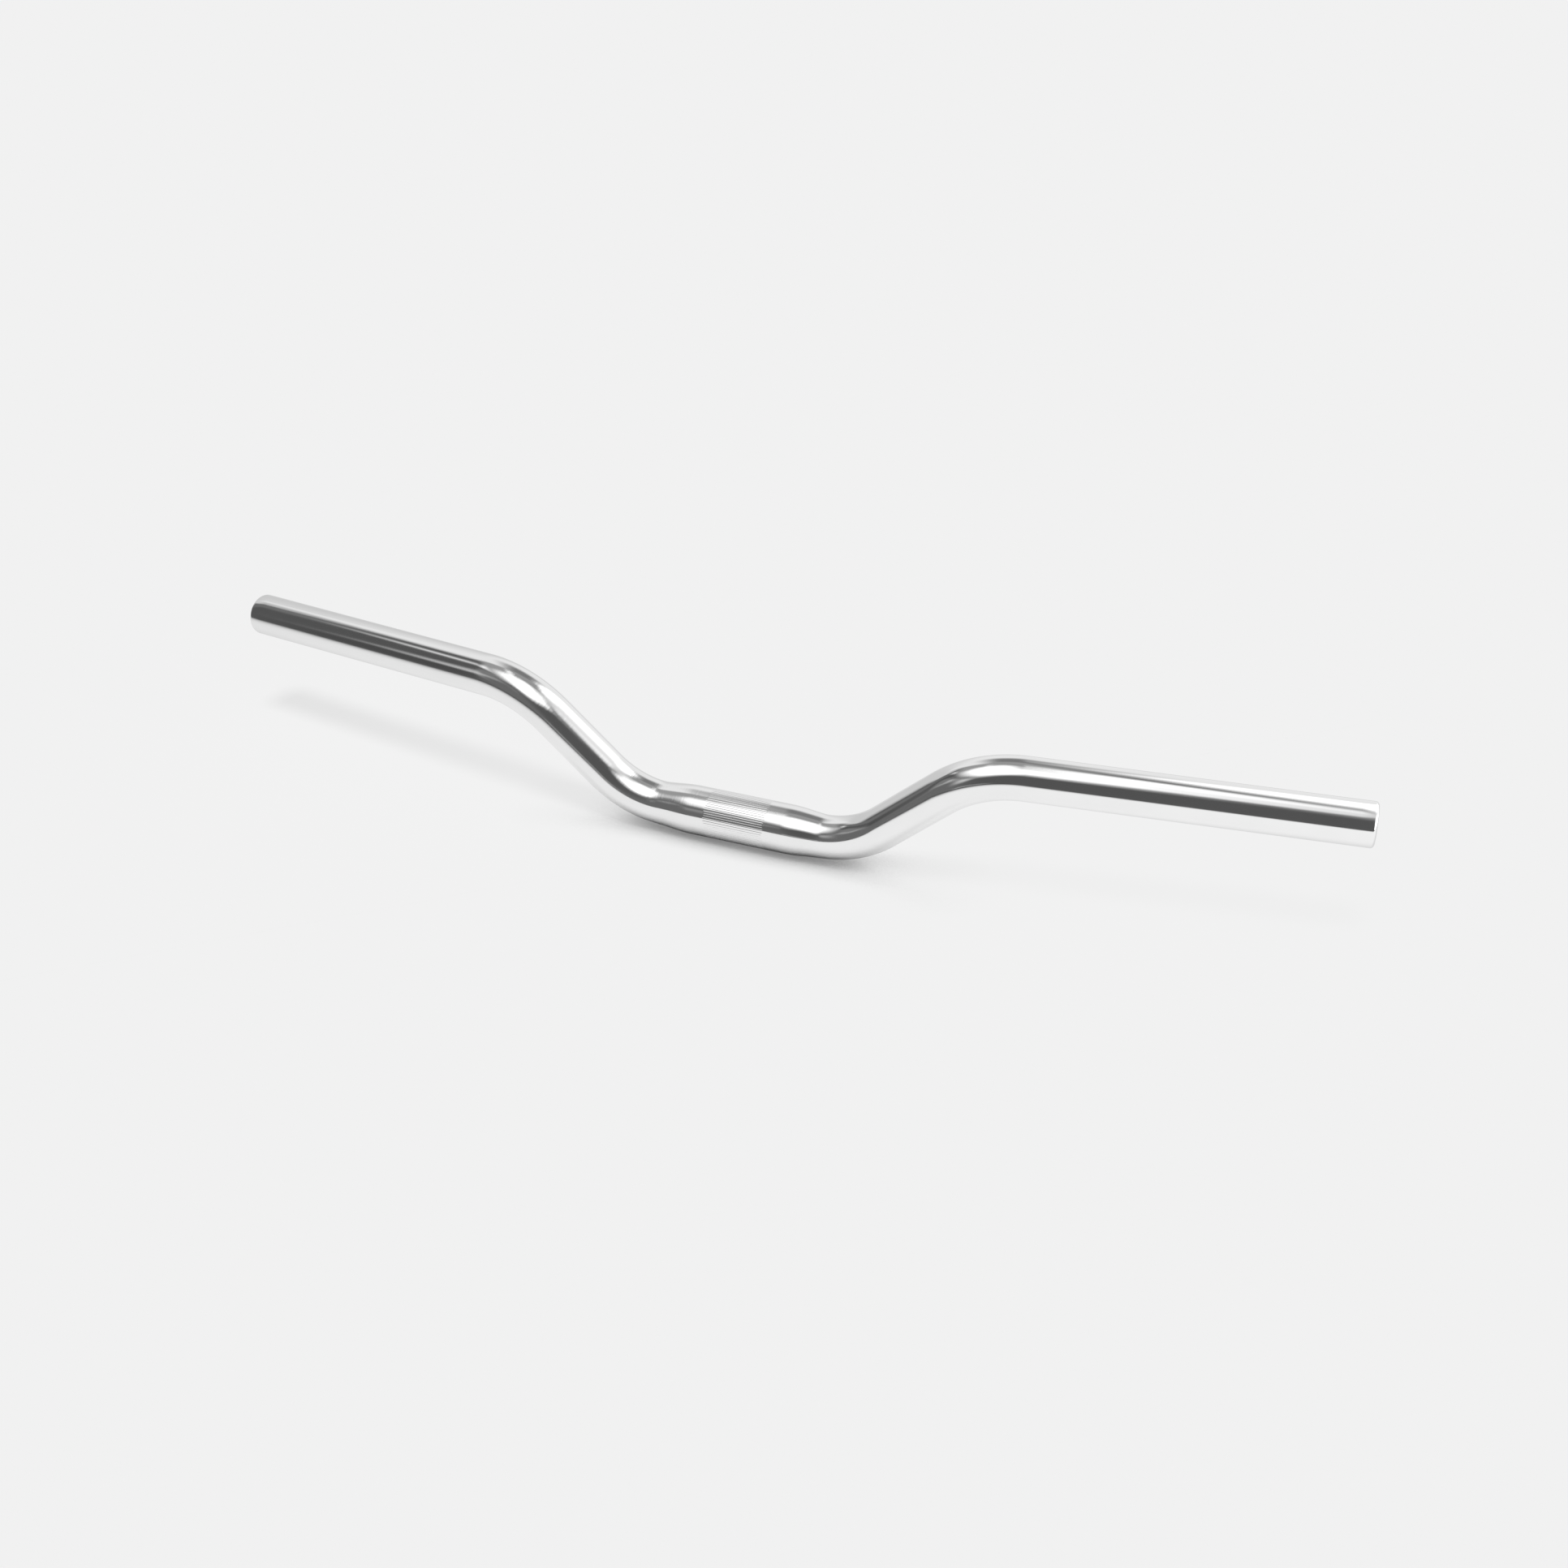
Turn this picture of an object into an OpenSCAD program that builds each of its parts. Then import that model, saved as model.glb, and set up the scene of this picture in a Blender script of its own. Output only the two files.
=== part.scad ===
// Riser handlebar for a bicycle: one bent and swaged aluminium tube.
// The clamp zone lies on X with its middle at the origin, the rise goes up Z
// and the grips sweep back to +Y.

/* [Overall size] */
// Tip to tip along the clamp axis, in mm
total_width = 620; // [580:5:720]
// Height of the tips' axes over the clamp axis, in mm
rise = 47; // [44:1:70]
// Slope of the rising legs against the clamp axis, in degrees
rise_angle = 40; // [33:0.5:44]
// Angle by which the grips sweep back, in degrees
backsweep = 10.5; // [2:0.5:16]
// Angle by which the grips slope down towards their tips, in degrees
downsweep = 1.75; // [0:0.25:4]
// Centreline radius of the two bends beside the clamp zone, in mm
lower_bend_radius = 55; // [48:1:75]
// Centreline radius of the two bends into the grips, in mm
upper_bend_radius = 60; // [50:1:75]

/* [Tube] */
// Outer diameter of the legs and grips, in mm
tube_diameter = 22.2; // [22:0.1:22.6]
// Outer diameter of the clamp zone, in mm
clamp_diameter = 25.4; // [25:0.1:26]
// Wall thickness all along the tube, in mm
wall = 2.3; // [2.2:0.1:3]
// Length of the clamp zone at its full diameter, in mm
clamp_length = 51; // [42:1:58]
// Length over which the clamp zone tapers down to the tube, in mm
taper_length = 17; // [13:1:24]
// Radius of the rounded outer edge at each open end, in mm
end_rounding = 1.8; // [0.6:0.1:1.9]
// Leg of the small chamfer on the inner edge at each open end, in mm
bore_chamfer = 0.3; // [0.1:0.1:0.3]

/* [Knurl] */
// Length of the fluted band in the clamp zone, in mm
knurl_length = 34; // [24:1:40]
// Number of grooves around the band
knurl_count = 62; // [48:1:66]
// Width of one groove at the surface, in mm
knurl_groove_width = 0.4; // [0.3:0.05:0.8]
// Depth of one groove, in mm
knurl_groove_depth = 0.2; // [0.1:0.05:0.35]
// Length over which each groove runs out at its ends, in mm
knurl_runout = 1.2; // [0.6:0.1:2]
// Turn of the first groove from the top of the tube towards the front, in degrees
knurl_turn = 5.4; // [0:0.1:6]

/* [Hidden] */

$fn = 180;
aluminium = [0.8, 0.81, 0.82];

tube_radius = tube_diameter / 2;
tube_bore = tube_radius - wall;
clamp_radius = clamp_diameter / 2;
clamp_bore = clamp_radius - wall;
clamp_half = clamp_length / 2;
centre_half = clamp_half + taper_length;
knurl_half = knurl_length / 2;
// rings that make up each taper's curve
taper_steps = 12;
// each bend draws the wall down by this much on both faces, in mm
bend_thinning = 0.01;
// angle by which a bend reaches into the straight at each end
bend_tuck = 0.05;
// the groove cutter reaches as far past the surface as it does below it
knurl_floor = clamp_radius - knurl_groove_depth;
knurl_clear = clamp_radius + knurl_groove_depth;

// directions of the right leg and the right grip
leg_dir = [cos(rise_angle), 0, sin(rise_angle)];
grip_dir = [
    cos(downsweep) * cos(backsweep),
    cos(downsweep) * sin(backsweep),
    -sin(downsweep),
];

// angle of the upper bend, and the unit vector from the leg's axis to its centre
upper_turn = acos(leg_dir * grip_dir);
upper_in = (grip_dir - cos(upper_turn) * leg_dir) / sin(upper_turn);
lower_in = [0, 0, 1];

// centreline steps across the bends
lower_step = lower_bend_radius * [sin(rise_angle), 0, 1 - cos(rise_angle)];
upper_step = upper_bend_radius * (sin(upper_turn) * leg_dir + (1 - cos(upper_turn)) * upper_in);

// straight lengths that bring the tips to the stated width and rise: what the bends leave
// of both is shared between the leg and the grip
left_x = total_width / 2 - centre_half - lower_step.x - upper_step.x;
left_z = rise - lower_step.z - upper_step.z;
cross_xz = leg_dir.z * grip_dir.x - leg_dir.x * grip_dir.z;
leg_length = (left_z * grip_dir.x - left_x * grip_dir.z) / cross_xz;
grip_length = (left_x * leg_dir.z - left_z * leg_dir.x) / cross_xz;

lower_start = [centre_half, 0, 0];
leg_start = lower_start + lower_step;
upper_start = leg_start + leg_length * leg_dir;
grip_start = upper_start + upper_step;

// places children drawn with +X, +Y and +Z of their own at a point, along three directions
module placed(point, dir_x, dir_y, dir_z) {
    multmatrix([
        [dir_x.x, dir_y.x, dir_z.x, point.x],
        [dir_x.y, dir_y.y, dir_z.y, point.y],
        [dir_x.z, dir_y.z, dir_z.z, point.z],
        [0, 0, 0, 1],
    ]) children();
}

// places children drawn along +Z at a point of the right half, pointing along the tube
module along(point, dir) {
    side = [dir.z, 0, -dir.x] / norm([dir.z, 0, -dir.x]);
    placed(point, side, cross(dir, side), dir) children();
}

module tube_section(thinning) {
    difference() {
        circle(r = tube_radius - thinning);
        circle(r = tube_bore + thinning);
    }
}

// a bend that starts at a point along dir and turns towards inward, with its ends
// tucked into the walls of the straights beside it
module bend(point, dir, inward, radius, turn) {
    placed(point + radius * inward, -inward, dir, cross(dir, inward))
        rotate_extrude(angle = turn + 2 * bend_tuck, start = -bend_tuck)
            translate([radius, 0])
                tube_section(bend_thinning);
}

module leg() {
    along(leg_start, leg_dir)
        linear_extrude(leg_length)
            tube_section(0);
}

// wall of a grip in section, rounded outside and chamfered inside at its open end
module grip_section() {
    difference() {
        union() {
            translate([tube_bore, 0])
                square([wall, grip_length - end_rounding]);
            translate([tube_bore, grip_length - end_rounding])
                square([wall - end_rounding, end_rounding]);
            intersection() {
                translate([tube_radius - end_rounding, grip_length - end_rounding])
                    circle(r = end_rounding);
                translate([tube_radius - end_rounding, grip_length - end_rounding])
                    square(end_rounding);
            }
        }
        polygon([
            [tube_bore, grip_length - bore_chamfer],
            [tube_bore + bore_chamfer, grip_length],
            [tube_bore, grip_length],
        ]);
    }
}

module grip() {
    along(grip_start, grip_dir)
        rotate_extrude()
            grip_section();
}

// outline of the centre piece from its middle to its right end, filled up to the given
// radii: the clamp zone, then an S-shaped taper down to the tube
module centre_area(clamp_r, tube_r) {
    polygon(concat(
        [[0, 0], [clamp_r, 0]],
        [for (i = [0 : taper_steps])
            let (share = i / taper_steps)
            [
                tube_r + (clamp_r - tube_r) * (1 + cos(180 * share)) / 2,
                clamp_half + taper_length * share,
            ]
        ],
        [[0, centre_half]]
    ));
}

module centre_section() {
    difference() {
        centre_area(clamp_radius, tube_radius);
        centre_area(clamp_bore, tube_bore);
    }
}

// ring that stops the grooves at one end, with a slope for their run-out
module runout_ring() {
    inner = knurl_floor - knurl_groove_depth;
    outer_end = knurl_half + knurl_runout;
    rotate_extrude()
        polygon([
            [inner, knurl_half - 2 * knurl_runout],
            [knurl_clear, outer_end],
            [inner, outer_end],
        ]);
}

// all grooves as one cutting tool
module knurl_tool() {
    difference() {
        linear_extrude(knurl_length, center = true)
            for (i = [0 : knurl_count - 1])
                rotate(i * 360 / knurl_count)
                    polygon([
                        [knurl_floor, 0],
                        [knurl_clear, -knurl_groove_width],
                        [knurl_clear, knurl_groove_width],
                    ]);
        runout_ring();
        mirror([0, 0, 1]) runout_ring();
    }
}

module centre() {
    rotate([0, 90, 0])
        difference() {
            rotate_extrude() {
                centre_section();
                mirror([0, 1]) centre_section();
            }
            rotate(180 + knurl_turn) knurl_tool();
        }
}

module right_side() {
    bend(lower_start, [1, 0, 0], lower_in, lower_bend_radius, rise_angle);
    leg();
    bend(upper_start, leg_dir, upper_in, upper_bend_radius, upper_turn);
    grip();
}

module handlebar() {
    color(aluminium) {
        centre();
        right_side();
        mirror([1, 0, 0]) right_side();
    }
}

handlebar();
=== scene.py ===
"""Looks of the riser handlebar: a smooth swept tube of polished aluminium on a pale floor.

Lengths of the bar are in millimetres and turned into metres by MM. The camera's place and the
lengths of the materials and the studio are in metres. The frame is the CAD's: the clamp zone lies
on X with its middle at the origin, Z is up and the grips sweep back to +Y.
"""

import math

import bpy
from mathutils import Matrix, Quaternion, Vector


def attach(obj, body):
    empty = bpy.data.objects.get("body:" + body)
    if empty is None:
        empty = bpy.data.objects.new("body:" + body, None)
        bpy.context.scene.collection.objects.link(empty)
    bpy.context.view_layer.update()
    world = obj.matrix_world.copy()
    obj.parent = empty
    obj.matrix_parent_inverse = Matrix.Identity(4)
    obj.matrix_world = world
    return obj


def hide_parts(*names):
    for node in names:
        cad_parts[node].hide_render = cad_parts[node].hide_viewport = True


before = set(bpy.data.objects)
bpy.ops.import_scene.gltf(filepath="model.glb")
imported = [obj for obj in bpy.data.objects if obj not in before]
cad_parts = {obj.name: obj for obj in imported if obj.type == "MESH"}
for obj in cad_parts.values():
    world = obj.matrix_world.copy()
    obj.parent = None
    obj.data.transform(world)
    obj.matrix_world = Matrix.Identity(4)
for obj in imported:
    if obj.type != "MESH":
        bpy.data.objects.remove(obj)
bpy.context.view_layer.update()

MM = 0.001

# sizes of the bar, as in the CAD
TOTAL_WIDTH = 620.0
RISE = 47.0
RISE_ANGLE = math.radians(40.0)
BACKSWEEP = math.radians(10.5)
DOWNSWEEP = math.radians(1.75)
LOWER_BEND_RADIUS = 55.0
UPPER_BEND_RADIUS = 60.0
TUBE_RADIUS = 11.1
CLAMP_RADIUS = 12.7
WALL = 2.3
CLAMP_HALF = 25.5
TAPER_LENGTH = 17.0
CENTRE_HALF = CLAMP_HALF + TAPER_LENGTH
END_ROUNDING = 1.8
BORE_CHAMFER = 0.3

# fluted band round the clamp zone, as in the CAD
KNURL_HALF = 17.0
KNURL_RUNOUT = 1.2
KNURL_COUNT = 62
KNURL_HALF_WIDTH = 0.2
KNURL_TURN = math.radians(5.4)
KNURL_PITCH = 2 * math.pi / KNURL_COUNT

# where the surface departs from the CAD, to look as in the photograph: longer tapers, which run
# on into the bends, and shallower flutes
EASED_TAPER = 23.0
KNURL_DEPTH = 0.07

# fineness of the mesh
BEND_STEP = math.radians(1.0)
TAPER_STEP = 0.75
STRAIGHT_STEP = 6.0
BORE_STEP = 4.0
END_ARC_STEPS = 8
RUNOUT_STEPS = 4
COARSE_PER_FLUTE = 2
# narrow strips beside each flute and past the band's ends, which keep its shading to itself
FLUTE_LIP = 0.1
BAND_LIP = 0.25
# how far past the band the fine rings give way to coarse ones
MESH_JOIN = 2.5
# share of a step by which a stretch may be longer than whole steps
STEP_SLACK = 1e-6

# places of the materials in the bar's list
OUTSIDE = 0
BORE = 1

# camera, from the fit to the photograph
CAMERA_PLACE = (0.43840, -0.95023, 0.56593)
CAMERA_AZIMUTH = math.radians(23.594)
CAMERA_ELEVATION = math.radians(27.542)
CAMERA_LENS = 53.447
SENSOR = 36.0


# path of the tube's axis
def straight(start, direction, sides, length):
    """A straight run: its own length and a function from a distance to point, direction and the
    two directions across the tube."""

    def at(distance):
        return start + direction * distance, direction, sides

    return length, at


def bend(start, direction, sides, towards, radius):
    """A bend of one radius that turns direction into towards and carries the sides along."""
    turn = direction.angle(towards)
    axis = direction.cross(towards).normalized()
    inward = axis.cross(direction)

    def at(distance):
        angle = distance / radius
        spin = Quaternion(axis, angle)
        point = start + radius * (math.sin(angle) * direction + (1 - math.cos(angle)) * inward)
        return point, spin @ direction, tuple(spin @ side for side in sides)

    return radius * turn, at


def end_of(run):
    length, at = run
    return at(length)


def right_path():
    """The right half of the axis from the middle to the tip: centre, lower bend, leg, upper bend
    and grip."""
    origin = Vector((0, 0, 0))
    level = Vector((1, 0, 0))
    leg = Vector((math.cos(RISE_ANGLE), 0, math.sin(RISE_ANGLE)))
    grip = Vector((math.cos(DOWNSWEEP) * math.cos(BACKSWEEP),
                   math.cos(DOWNSWEEP) * math.sin(BACKSWEEP),
                   -math.sin(DOWNSWEEP)))
    top_and_front = (Vector((0, 0, 1)), Vector((0, -1, 0)))

    centre = straight(origin, level, top_and_front, CENTRE_HALF)
    lower = bend(*end_of(centre), leg, LOWER_BEND_RADIUS)
    leg_start, _, leg_sides = end_of(lower)

    # the leg and the grip share what the bends leave of the half width and the rise
    upper_step = end_of(bend(origin, leg, leg_sides, grip, UPPER_BEND_RADIUS))[0]
    share_x = TOTAL_WIDTH / 2 - leg_start.x - upper_step.x
    share_z = RISE - leg_start.z - upper_step.z
    cross_xz = leg.z * grip.x - leg.x * grip.z
    leg_length = (share_z * grip.x - share_x * grip.z) / cross_xz
    grip_length = (share_x * leg.z - share_z * leg.x) / cross_xz

    rising = straight(leg_start, leg, leg_sides, leg_length)
    upper = bend(*end_of(rising), grip, UPPER_BEND_RADIUS)
    grip_start, _, grip_sides = end_of(upper)
    outer = straight(grip_start, grip, grip_sides, grip_length)
    return [centre, lower, rising, upper, outer]


PATH = right_path()
HALF_LENGTH = sum(length for length, _ in PATH)


def axis_at(along):
    """Point of the axis and the two directions across it at a signed length from the middle."""
    rest = abs(along)
    for length, at in PATH[:-1]:
        if rest <= length:
            break
        rest -= length
    else:
        at = PATH[-1][1]
    point, _, (top, front) = at(rest)
    if along < 0:
        flip = Vector((-1, 1, 1))
        point, top, front = point * flip, top * flip, front * flip
    return point, top, front


def spaced(start, end, step):
    """Places after start and up to end, in equal steps that are no longer than step."""
    count = max(1, math.ceil((end - start) / step - STEP_SLACK))
    return [start + (end - start) * i / count for i in range(1, count + 1)]


def ring_places():
    """Lengths from the middle at which the right half has a ring, up to its rounded end."""
    stretches = [
        (KNURL_HALF - KNURL_RUNOUT, STRAIGHT_STEP),
        (KNURL_HALF, KNURL_RUNOUT / RUNOUT_STEPS),
        (KNURL_HALF + BAND_LIP, BAND_LIP),
        (KNURL_HALF + MESH_JOIN, MESH_JOIN),
        (CLAMP_HALF, STRAIGHT_STEP),
        (CENTRE_HALF, TAPER_STEP),
    ]
    end = CENTRE_HALF
    run_steps = (LOWER_BEND_RADIUS * BEND_STEP, STRAIGHT_STEP, UPPER_BEND_RADIUS * BEND_STEP)
    for (length, _), step in zip(PATH[1:-1], run_steps):
        end += length
        stretches.append((end, step))
    stretches.append((HALF_LENGTH - END_ROUNDING, STRAIGHT_STEP))

    places = [0.0]
    for end, step in stretches:
        places += spaced(places[-1], end, step)
    return places


# section of the tube
def clamped(share):
    return min(1.0, max(0.0, share))


def outer_radius(along):
    """Radius outside at a length from the middle: clamp zone, S-shaped taper, plain tube."""
    share = clamped((abs(along) - CLAMP_HALF) / EASED_TAPER)
    return TUBE_RADIUS + (CLAMP_RADIUS - TUBE_RADIUS) * (1 + math.cos(math.pi * share)) / 2


def flute_depth(along):
    """Depth of the flutes at a length from the middle: full in the band, then a straight run-out."""
    return KNURL_DEPTH * clamped((KNURL_HALF - abs(along)) / KNURL_RUNOUT)


def flute_offsets():
    """Points over one pitch as (angle from the middle of a flute, share of its depth)."""
    wall = KNURL_HALF_WIDTH / CLAMP_RADIUS
    lip = (KNURL_HALF_WIDTH + FLUTE_LIP) / CLAMP_RADIUS
    leaving = [(wall / 2, 0.5), (wall, 0.0), (lip, 0.0)]
    nearing = [(KNURL_PITCH - angle, share) for angle, share in reversed(leaving)]
    return [(0.0, 1.0), *leaving, (KNURL_PITCH / 2, 0.0), *nearing]


def section(offsets):
    """Points round the tube as (angle from the top towards the front, share of the flute depth)."""
    return [(KNURL_TURN + flute * KNURL_PITCH + angle, share)
            for flute in range(KNURL_COUNT) for angle, share in offsets]


FLUTE = flute_offsets()
FINE_PER_COARSE = len(FLUTE) // COARSE_PER_FLUTE
FINE = section(FLUTE)
COARSE = section(FLUTE[::FINE_PER_COARSE])


# mesh of the bar
class TubeMesh:
    """Rings of points round the axis and the faces between them. Each point also keeps its place
    on the straightened tube, which the materials use."""

    def __init__(self):
        self.points = []
        self.unbent = []
        self.faces = []
        self.slots = []

    def ring(self, along, radius, points=COARSE, depth=0.0):
        """Adds the points of one ring and returns their numbers."""
        centre, top, front = axis_at(along)
        first = len(self.points)
        for angle, share in points:
            upward = (radius - depth * share) * math.cos(angle)
            forward = (radius - depth * share) * math.sin(angle)
            self.points.append((centre + upward * top + forward * front) * MM)
            self.unbent.append((along * MM, upward * MM, forward * MM))
        return range(first, len(self.points))

    def face(self, corners, slot=OUTSIDE):
        self.faces.append(corners)
        self.slots.append(slot)

    def join(self, a, b, slot=OUTSIDE):
        """Faces between two rings, also where one has more points than the other."""
        if len(a) == len(b):
            for i in range(len(a)):
                j = (i + 1) % len(a)
                self.face((a[i], b[i], b[j], a[j]), slot)
        elif len(a) > len(b):
            self.join_fine(a, b, False)
        else:
            self.join_fine(b, a, True)

    def join_fine(self, fine, coarse, swap):
        """Fans from each coarse edge to the run of fine edges beside it."""
        half = FINE_PER_COARSE // 2
        for i, here in enumerate(coarse):
            after = coarse[(i + 1) % len(coarse)]
            run = [fine[(i * FINE_PER_COARSE + m) % len(fine)] for m in range(FINE_PER_COARSE + 1)]
            fans = [(here, run[m + 1], run[m]) for m in range(half)]
            fans.append((here, after, run[half]))
            fans += [(after, run[m + 1], run[m]) for m in range(half, FINE_PER_COARSE)]
            for fan in fans:
                self.face(fan[::-1] if swap else fan)

    def build(self, name):
        """The Blender object of the mesh."""
        data = bpy.data.meshes.new(name)
        data.from_pydata(self.points, [], self.faces)
        unbent = data.attributes.new("unbent", "FLOAT_VECTOR", "POINT")
        unbent.data.foreach_set("vector", [c for place in self.unbent for c in place])
        data.polygons.foreach_set("material_index", self.slots)
        data.shade_smooth()
        data.update()
        return new_object(name, data)


def end_rings(mesh, side):
    """Rings of the rounded rim and the chamfer at one open end, from outside to inside."""
    rings = []
    for step in range(1, END_ARC_STEPS + 1):
        angle = math.pi / 2 * step / END_ARC_STEPS
        along = HALF_LENGTH - END_ROUNDING * (1 - math.sin(angle))
        radius = TUBE_RADIUS - END_ROUNDING * (1 - math.cos(angle))
        rings.append(mesh.ring(side * along, radius))
    rings.append(mesh.ring(side * HALF_LENGTH, TUBE_RADIUS - WALL + BORE_CHAMFER))
    return rings


def build_bar():
    """The whole bar as one closed surface: outside, both rims and the bore."""
    mesh = TubeMesh()
    right = ring_places()
    outer = []
    for along in [-place for place in reversed(right[1:])] + right:
        fine = abs(along) < KNURL_HALF + MESH_JOIN
        outer.append(
            mesh.ring(along, outer_radius(along), FINE if fine else COARSE, flute_depth(along))
        )
    left_end = end_rings(mesh, -1)
    right_end = end_rings(mesh, 1)
    outside = left_end[::-1] + outer + right_end
    for a, b in zip(outside, outside[1:]):
        mesh.join(a, b)

    bore_end = HALF_LENGTH - BORE_CHAMFER
    inner = [mesh.ring(along, outer_radius(along) - WALL)
             for along in [-bore_end, *spaced(-bore_end, bore_end, BORE_STEP)]]
    mesh.join(inner[0], left_end[-1])
    mesh.join(right_end[-1], inner[-1])
    for a, b in zip(inner, inner[1:]):
        mesh.join(b, a, BORE)
    return mesh.build("handlebar_surface")


# objects and node helpers
WHITE = (1, 1, 1, 1)


def new_object(name, data):
    made = bpy.data.objects.new(name, data)
    bpy.context.scene.collection.objects.link(made)
    return made


def new_material(name):
    material = bpy.data.materials.new(name)
    material.use_nodes = True
    material.node_tree.nodes.clear()
    return material, material.node_tree


def add(tree, kind, inputs=None, **settings):
    """A node with its settings, and with its inputs linked or set."""
    node = tree.nodes.new(kind)
    for key, value in settings.items():
        setattr(node, key, value)
    for key, value in (inputs or {}).items():
        if isinstance(value, bpy.types.NodeSocket):
            tree.links.new(value, node.inputs[key])
        else:
            node.inputs[key].default_value = value
    return node


def maths(tree, operation, *values):
    return add(tree, "ShaderNodeMath", dict(enumerate(values)), operation=operation).outputs[0]


def mix(tree, share, start, end):
    return add(tree, "ShaderNodeMix", {0: share, 2: start, 3: end}).outputs[0]


def split(tree, vector):
    return add(tree, "ShaderNodeSeparateXYZ", {0: vector}).outputs


def ramp(tree, value, start, end, low=0.0, high=1.0, kind="SMOOTHSTEP"):
    """Carries a value from the span between start and end to the one between low and high."""
    return add(tree, "ShaderNodeMapRange",
               {"Value": value, "From Min": start, "From Max": end, "To Min": low, "To Max": high},
               interpolation_type=kind).outputs[0]


def emission(tree, strength):
    return add(tree, "ShaderNodeEmission", {"Color": WHITE, "Strength": strength})


def set_surface(tree, shader):
    add(tree, "ShaderNodeOutputMaterial", {"Surface": shader.outputs[0]})


def set_mixed_surface(tree, share, first, second):
    set_surface(tree, add(tree, "ShaderNodeMixShader",
                          {0: share, 1: first.outputs[0], 2: second.outputs[0]}))


# materials of the bar: noise in waves per metre, along and across the straightened tube
MARKS_SCALE = (1300.0, 45.0, 45.0)
WAVES_SCALE = (180.0, 40.0, 40.0)
HAZE_SCALE = (35.0, 70.0, 70.0)
HAZE_DETAIL = 4.0
DRAWN_SCALE = (12.0, 1100.0, 1100.0)
NOISE_ROUGHNESS = 0.6
# where most of a noise's values lie
NOISE_SPAN = (0.3, 0.7)

# the polishing marks come in along the left upper bend, end beside the fluted band, have a lower
# level elsewhere and lie over weaker long waves
MARKS_OUTER_FADE = (-0.165, -0.130)
MARKS_INNER_FADE = (-0.018, -0.030)
MARKS_ELSEWHERE = 0.1
MARKS_HEIGHT = 0.00003
WAVES_SHARE = 0.1
POLISHED_TONE = (0.90, 0.925)
POLISHED_ROUGHNESS = (0.06, 0.09)

DRAWN_HEIGHT = 0.00004
DRAWN_STRENGTH = 0.5
DRAWN_TONE = (0.48, 0.60)
DRAWN_ROUGHNESS = 0.42


def straightened_place(tree):
    return add(tree, "ShaderNodeAttribute", attribute_name="unbent").outputs["Vector"]


def stretched_noise(tree, place, scale, detail=2.0):
    """Noise in the coordinates of the straightened tube, stretched by one scale per axis."""
    mapped = add(tree, "ShaderNodeVectorMath", {0: place, 1: scale}, operation="MULTIPLY")
    noise = add(tree, "ShaderNodeTexNoise",
                {"Vector": mapped.outputs[0], "Scale": 1.0, "Detail": detail,
                 "Roughness": NOISE_ROUGHNESS})
    return noise.outputs["Fac"]


def set_metal(tree, tone, roughness, bump):
    """Bare metal of a grey tone, with its relief."""
    colour = add(tree, "ShaderNodeCombineColor", {"Red": tone, "Green": tone, "Blue": tone})
    set_surface(tree, add(tree, "ShaderNodeBsdfPrincipled",
                          {"Base Color": colour.outputs[0], "Metallic": 1.0,
                           "Roughness": roughness, "Normal": bump.outputs[0]}))


def polished_aluminium():
    """Bright polished tube: polishing marks run round it, strongest on the left leg and its
    bends, with a faint haze that varies."""
    material, tree = new_material("polished_aluminium")
    place = straightened_place(tree)
    along = split(tree, place)["X"]
    left_leg = maths(tree, "MULTIPLY", ramp(tree, along, *MARKS_OUTER_FADE),
                     ramp(tree, along, *MARKS_INNER_FADE))
    depth = ramp(tree, left_leg, 0.0, 1.0, MARKS_ELSEWHERE, 1.0, "LINEAR")
    marks = stretched_noise(tree, place, MARKS_SCALE)
    waves = maths(tree, "MULTIPLY", stretched_noise(tree, place, WAVES_SCALE), WAVES_SHARE)
    height = maths(tree, "MULTIPLY_ADD", marks, depth, waves)
    bump = add(tree, "ShaderNodeBump",
               {"Strength": 1.0, "Distance": MARKS_HEIGHT, "Height": height})
    haze = stretched_noise(tree, place, HAZE_SCALE, HAZE_DETAIL)
    set_metal(tree, ramp(tree, haze, *NOISE_SPAN, *POLISHED_TONE, "LINEAR"),
              ramp(tree, haze, *NOISE_SPAN, *POLISHED_ROUGHNESS, "LINEAR"), bump)
    return material


def drawn_bore():
    """Inside of the tube: dull drawn aluminium with lines along it."""
    material, tree = new_material("drawn_bore")
    lines = stretched_noise(tree, straightened_place(tree), DRAWN_SCALE)
    bump = add(tree, "ShaderNodeBump",
               {"Strength": DRAWN_STRENGTH, "Distance": DRAWN_HEIGHT, "Height": lines})
    set_metal(tree, ramp(tree, lines, *NOISE_SPAN, *DRAWN_TONE, "LINEAR"), DRAWN_ROUGHNESS, bump)
    return material


# floor and backdrop, with the level that the camera sees
PALE = 0.8796
STAGE_HALF = 20
FLOOR_Z = -CLAMP_RADIUS * MM

# shade under the bar: how far the sky is looked for, the shares of open sky at which the shade is
# darkest and at which it ends, its darkest level, and how far from the middle it fades out
CONTACT_REACH = 0.052
CONTACT_SAMPLES = 4
CONTACT_OPEN = (0.20, 0.60)
CONTACT_LEVEL = 0.25
CONTACT_FADE = (0.36, 0.40)
# the same as the bar mirrors it, which is wider and darker
MIRRORED_WIDER = 0.15
MIRRORED_LEVEL = 0.03

# key light that lets the arms throw a soft shadow, and the share of it in the floor's light, from
# the left side to the right
PAPER = 0.8
KEY_FROM = Vector((0.10, -0.30, 1.0))
KEY_ANGLE = math.radians(15.0)
KEY_SIDES = (-0.30, 0.15)
KEY_SHARES = (0.125, 0.02)

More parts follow.
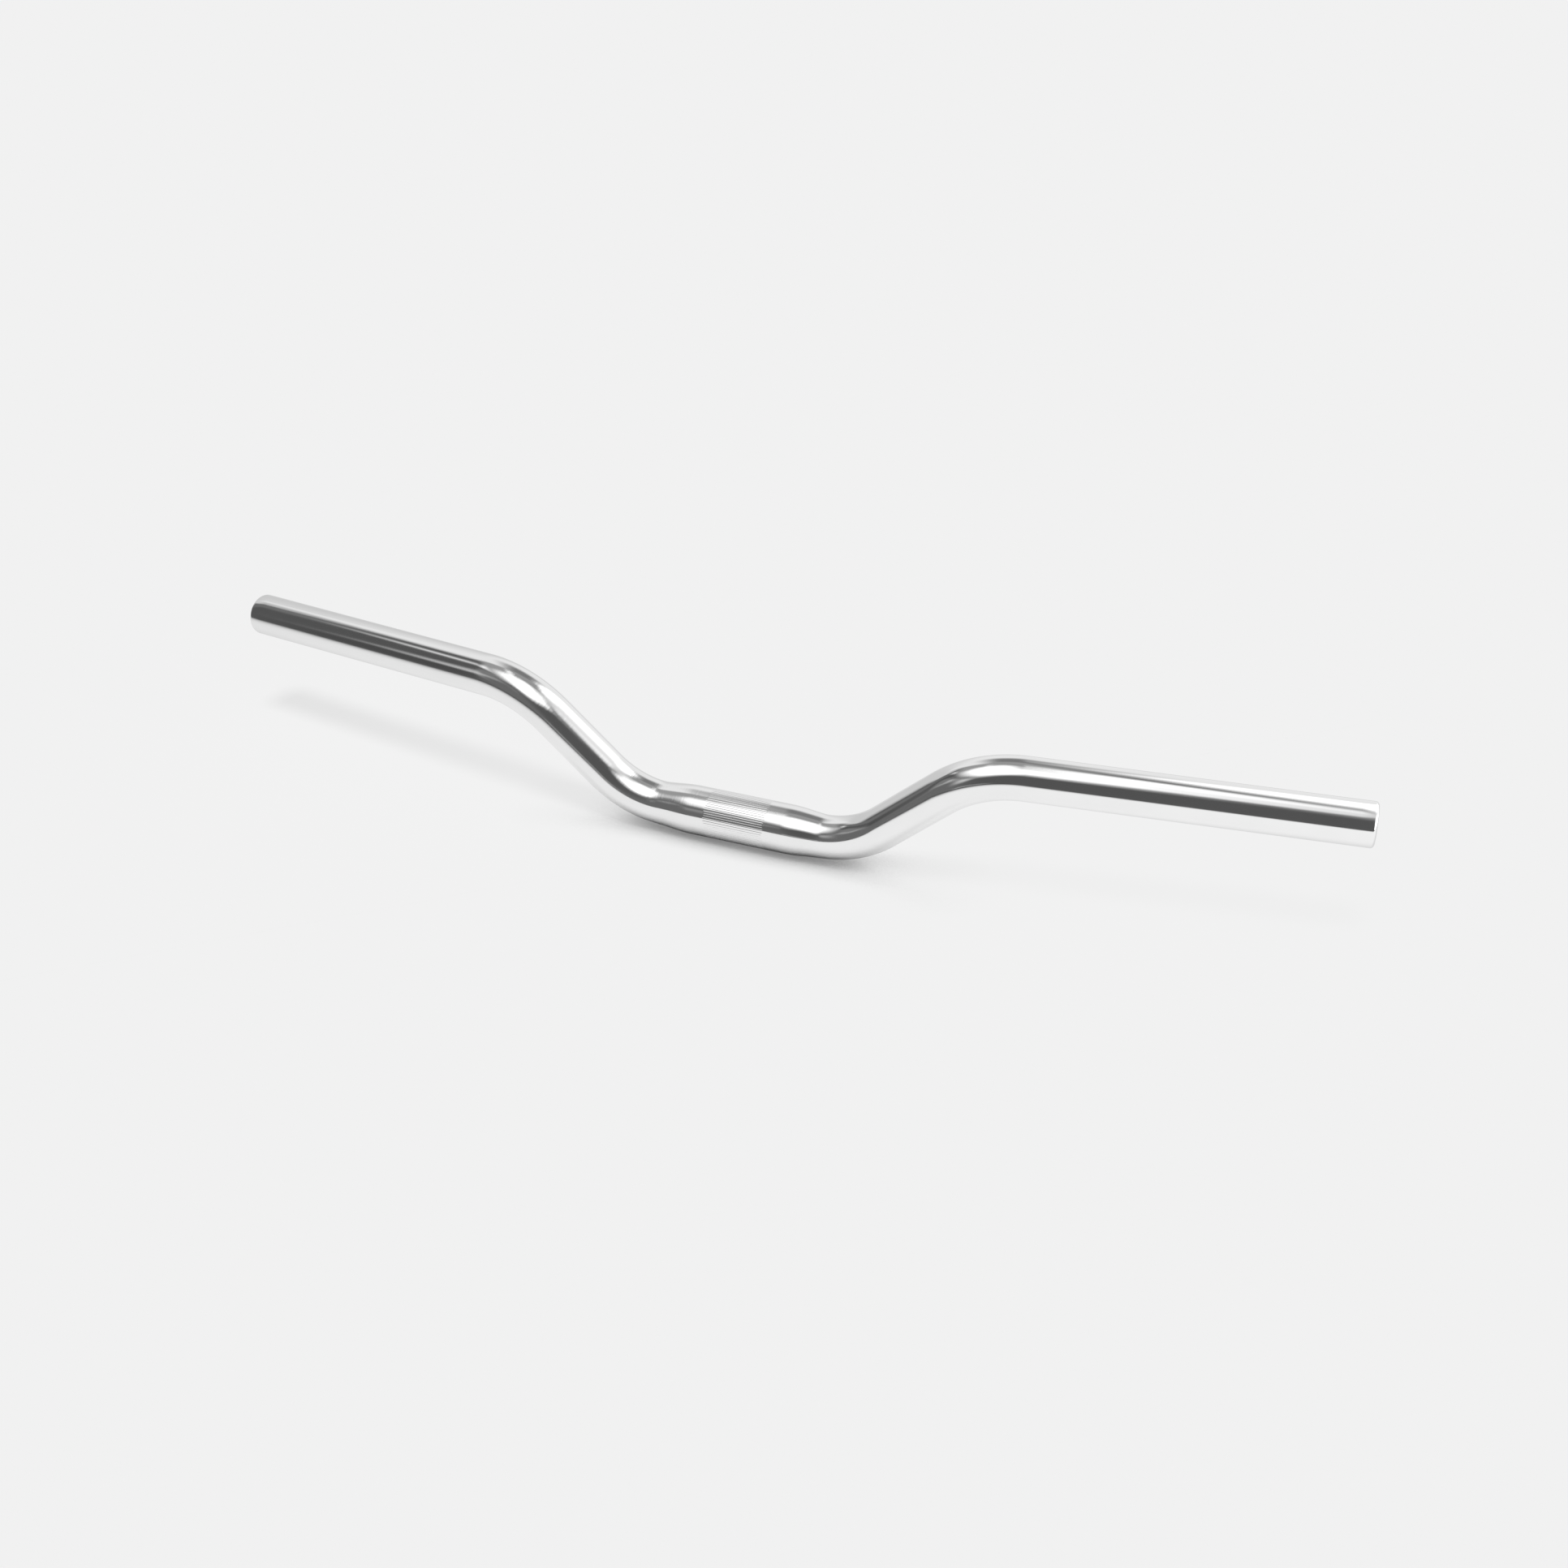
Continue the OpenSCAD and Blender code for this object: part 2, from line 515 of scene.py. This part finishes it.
# the floor as the bar mirrors it: a table that is lighter to the right and darker at the back,
# and ends along a slanted soft edge in front of the bar
TABLE_SPAN = (-0.5, 0.5)
TABLE_SIDES = (0.80, 0.97)
TABLE_BACK = (0.0, 0.08)
TABLE_FAR = 0.72
TABLE_EDGE = -0.30
TABLE_SLANT = -0.32
TABLE_FEATHER = 0.16

# the room as the bar mirrors it: dim in front, light behind, and the +Y parts of a ray's direction
# between which it changes
ROOM_FRONT = 0.09
ROOM_BACK = 0.92
ROOM_TURN = (0.43, 0.63)


def contact_shade(tree, rays, place):
    """Level of the shade under the bar, which is 1 where there is none."""
    open_sky = add(tree, "ShaderNodeAmbientOcclusion", {"Distance": CONTACT_REACH},
                   samples=CONTACT_SAMPLES).outputs["AO"]
    darkest = maths(tree, "MULTIPLY_ADD", rays["Is Camera Ray"], CONTACT_LEVEL - MIRRORED_LEVEL,
                    MIRRORED_LEVEL)
    full, end = CONTACT_OPEN
    lightest = maths(tree, "MULTIPLY_ADD", rays["Is Glossy Ray"], MIRRORED_WIDER, end)
    contact = ramp(tree, open_sky, full, lightest, darkest, 1.0)
    away = add(tree, "ShaderNodeVectorMath", {0: place}, operation="LENGTH").outputs["Value"]
    return mix(tree, ramp(tree, away, *CONTACT_FADE), contact, 1.0)


def mirrored_table(tree, across):
    """Level of the floor as the bar mirrors it."""
    sideways = ramp(tree, across["X"], *TABLE_SPAN, *TABLE_SIDES, "LINEAR")
    lit = mix(tree, ramp(tree, across["Y"], *TABLE_BACK), sideways, TABLE_FAR)
    depth = maths(tree, "MULTIPLY_ADD", across["X"], -TABLE_SLANT, across["Y"])
    past = ramp(tree, depth, TABLE_EDGE + TABLE_FEATHER, TABLE_EDGE - TABLE_FEATHER)
    return mix(tree, past, lit, ROOM_FRONT)


def floor_material():
    """Evenly lit pale floor. It darkens right under the bar and takes a soft shadow of the arms
    from the key light. In reflections its light falls off to the left and the back, and it ends
    in front of the bar, where the photographer's table ends."""
    material, tree = new_material("pale_floor")
    rays = add(tree, "ShaderNodeLightPath").outputs
    place = add(tree, "ShaderNodeTexCoord").outputs["Object"]
    across = split(tree, place)
    level = mix(tree, rays["Is Glossy Ray"], PALE, mirrored_table(tree, across))
    glow = emission(tree, maths(tree, "MULTIPLY", contact_shade(tree, rays, place), level))
    paper = add(tree, "ShaderNodeBsdfDiffuse", {"Color": (PAPER, PAPER, PAPER, 1)})
    key = ramp(tree, across["X"], *KEY_SIDES, *KEY_SHARES, "LINEAR")
    set_mixed_surface(tree, maths(tree, "MULTIPLY", key, rays["Is Camera Ray"]), glow, paper)
    return material


def add_key_light():
    """Small soft sun whose light on the floor, where nothing is in its way, is PALE."""
    data = bpy.data.lights.new("key", "SUN")
    data.angle = KEY_ANGLE
    data.energy = PALE * math.pi / (PAPER * KEY_FROM.normalized().z)
    key = new_object("key", data)
    key.rotation_euler = KEY_FROM.to_track_quat("Z", "Y").to_euler()
    key.visible_glossy = False


def rectangle(name, half_width, half_height, material):
    """A flat sheet of the stage, level round its own origin."""
    corners = [(-half_width, -half_height, 0), (half_width, -half_height, 0),
               (half_width, half_height, 0), (-half_width, half_height, 0)]
    data = bpy.data.meshes.new(name)
    data.from_pydata(corners, [], [(0, 1, 2, 3)])
    data.materials.append(material)
    sheet = new_object(name, data)
    return sheet


def build_world():
    """Dim room in front, lighter room behind for the reflections, and the pale backdrop."""
    world = bpy.data.worlds.new("studio")
    bpy.context.scene.world = world
    world.use_nodes = True
    tree = world.node_tree
    tree.nodes.clear()
    rays = add(tree, "ShaderNodeLightPath").outputs
    direction = add(tree, "ShaderNodeTexCoord").outputs["Generated"]
    room = ramp(tree, split(tree, direction)["Y"], *ROOM_TURN, ROOM_FRONT, ROOM_BACK)
    glossy = maths(tree, "MULTIPLY", room, rays["Is Glossy Ray"])
    shown = maths(tree, "MULTIPLY", rays["Is Camera Ray"], PALE)
    sky = add(tree, "ShaderNodeBackground",
              {"Color": WHITE, "Strength": maths(tree, "ADD", glossy, shown)})
    add(tree, "ShaderNodeOutputWorld", {"Surface": sky.outputs[0]})


# soft boxes and flags round the bar, from far to near, with angles in degrees: name, azimuth,
# elevation, distance, roll, half width, half height, strength and feather
CARDS = [
    ("ceiling_softbox", -30, 70, 3.0, -15, 1.40, 1.35, 1.60, 0.15),
    ("left_wall", -82, 25, 2.9, -70, 1.25, 0.30, 0.15, 0.05),
    ("right_window", 103, 33, 2.8, 31, 6.80, 2.10, 1.80, 0.35),
    ("right_window_shade", 84, 57, 1.8, -35, 1.15, 0.35, 0.60, 0.25),
    ("left_window", -41, 20, 1.8, 80, 0.25, 0.45, 1.60, 0.08),
    ("left_gap", -82, 43, 1.7, -85, 0.02, 0.12, 1.20, 0.05),
    ("back_wall", -155, 36, 1.3, 30, 1.00, 0.60, 0.85, 0.09),
    ("left_flag", -60, 56, 1.0, -25, 0.50, 0.20, 0.33, 0.035),
    ("back_flag", -160, 60, 1.0, 80, 0.30, 0.25, 0.20, 0.07),
    ("low_reflector", -146, -10, 0.9, -45, 0.35, 2.20, 0.63, 0.09),
    ("overhead_flag", -80, 85, 0.85, 85, 0.20, 0.29, 0.32, 0.03),
    ("front_softbox", -17, 60, 0.75, 43, 0.25, 0.30, 1.50, 0.06),
    ("front_reflector", -9, -2, 0.75, -5, 0.15, 0.04, 0.45, 0.02),
    ("left_low_flag", -62, 8, 0.70, -90, 0.10, 0.08, 0.07, 0.02),
    ("left_high_flag", -56, 32, 0.70, -64, 0.10, 0.08, 0.20, 0.02),
    ("front_flag", -35, 10, 0.70, -58, 0.32, 0.24, 0.14, 0.065),
]
# feathers on each side of a card's outline over which it fades out
FEATHER_SPREAD = 2.5


def card_material(name, half_width, half_height, strength, fade):
    """Glow of one value that fades out over its soft edges."""
    material, tree = new_material(name)
    across = split(tree, add(tree, "ShaderNodeTexCoord").outputs["Object"])
    sides = [ramp(tree, maths(tree, "ABSOLUTE", across[axis]), half + fade, half - fade)
             for axis, half in (("X", half_width), ("Y", half_height))]
    cover = maths(tree, "MULTIPLY", *sides)
    clear = add(tree, "ShaderNodeBsdfTransparent")
    set_mixed_surface(tree, cover, clear, emission(tree, strength))
    material.cycles.emission_sampling = "NONE"
    return material


def studio_card(name, azimuth, elevation, distance, roll, half_width, half_height, strength,
                feather):
    """A soft box or flag that only shows in reflections. It faces the bar from an azimuth that
    counts from -Y towards +X."""
    az, el, turn = (math.radians(angle) for angle in (azimuth, elevation, roll))
    towards = Vector((math.sin(az) * math.cos(el), -math.cos(az) * math.cos(el), math.sin(el)))
    level = Vector((math.cos(az), math.sin(az), 0))
    upright = towards.cross(level)
    right = math.cos(turn) * level + math.sin(turn) * upright
    rise = math.cos(turn) * upright - math.sin(turn) * level
    fade = feather * FEATHER_SPREAD
    card = rectangle(name, half_width + fade, half_height + fade,
                     card_material(name, half_width, half_height, strength, fade))
    card.matrix_world = (Matrix.Translation(distance * towards)
                         @ Matrix((right, rise, towards)).transposed().to_4x4())
    card.visible_camera = card.visible_diffuse = card.visible_transmission = False
    card.visible_shadow = card.visible_volume_scatter = False


def add_camera():
    data = bpy.data.cameras.new("camera")
    data.lens = CAMERA_LENS
    data.sensor_width = SENSOR
    data.sensor_fit = "HORIZONTAL"
    camera = new_object("camera", data)
    camera.location = CAMERA_PLACE
    camera.rotation_euler = (math.pi / 2 - CAMERA_ELEVATION, 0, CAMERA_AZIMUTH)
    bpy.context.scene.camera = camera


# the scene: the stage first, then the bar
bpy.context.scene.view_settings.view_transform = "Standard"
add_camera()
build_world()
for row in CARDS:
    studio_card(*row)
add_key_light()
floor = rectangle("floor", STAGE_HALF, STAGE_HALF, floor_material())
floor.location.z = FLOOR_Z

handlebar = build_bar()
handlebar.data.materials.append(polished_aluminium())
handlebar.data.materials.append(drawn_bore())
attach(handlebar, "root")
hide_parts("handlebar")
